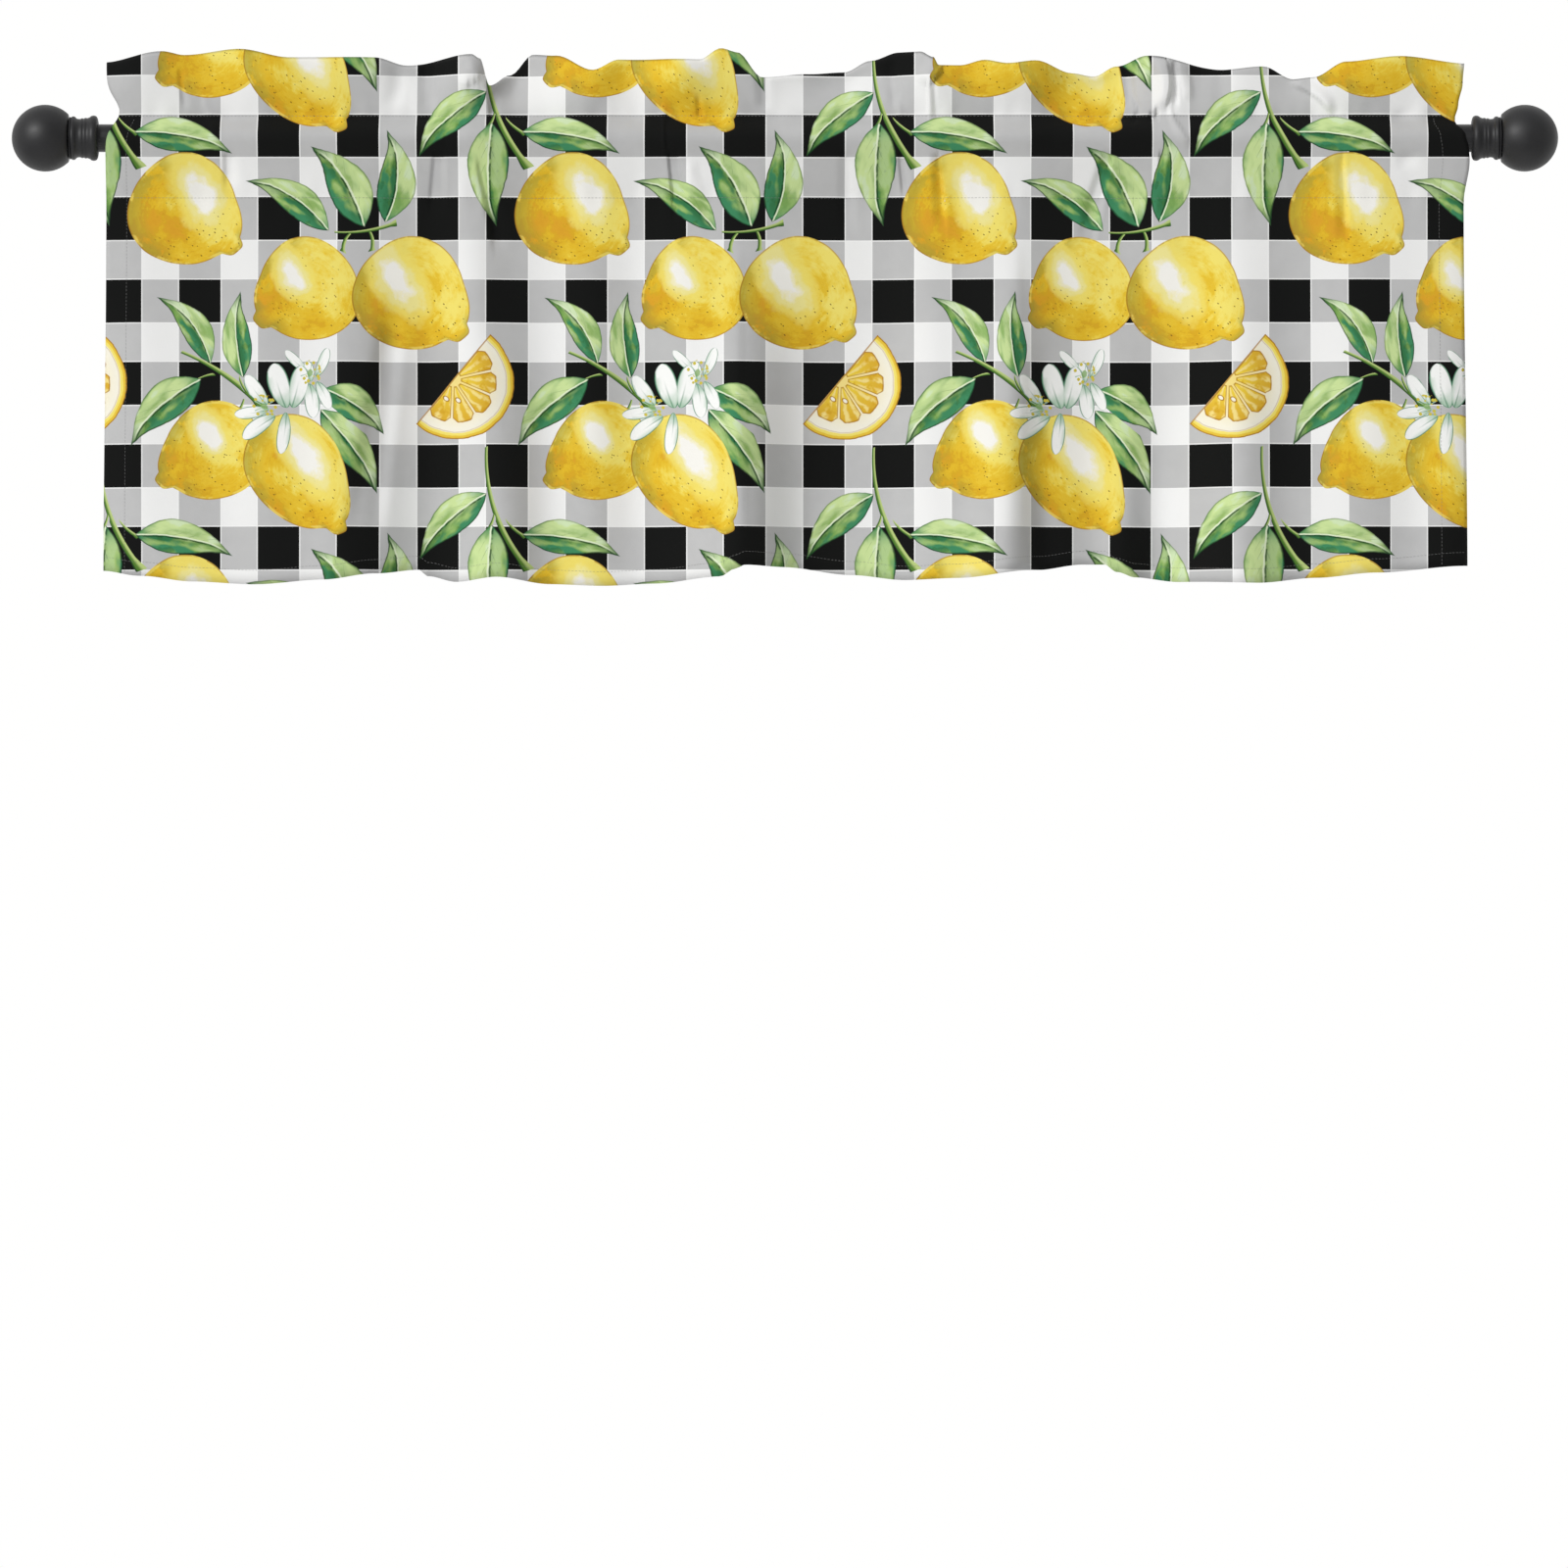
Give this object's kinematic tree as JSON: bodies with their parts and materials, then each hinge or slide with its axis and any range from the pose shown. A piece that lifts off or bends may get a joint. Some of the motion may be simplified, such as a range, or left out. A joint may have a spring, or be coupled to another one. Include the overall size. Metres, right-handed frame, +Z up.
{
  "type": "rod-pocket window valance on its curtain rod",
  "caption": "Short gathered window valance with a stand-up ruffled header and a rod pocket, printed with lemons over a buffalo check, on a round black rod with ball finials.",
  "frame": {"origin": "on the rod's axis, at the middle of the rod's length", "axes": "+X along the rod, to the right as seen from the room; -Y out of the printed face, into the room; +Z up"},
  "size_m": [1.3348, 0.0576, 0.4633],
  "materials": {
    "printed_cloth": "matte woven polyester, printed on its face",
    "rod_black": "satin black powder coat",
    "finial_black": "satin black powder coat"
  },
  "bodies": {
    "root": {"valance": "printed_cloth", "rod": "rod_black", "collar_left": "finial_black", "collar_right": "finial_black", "ball_left": "finial_black", "ball_right": "finial_black"}
  },
  "joints": []
}
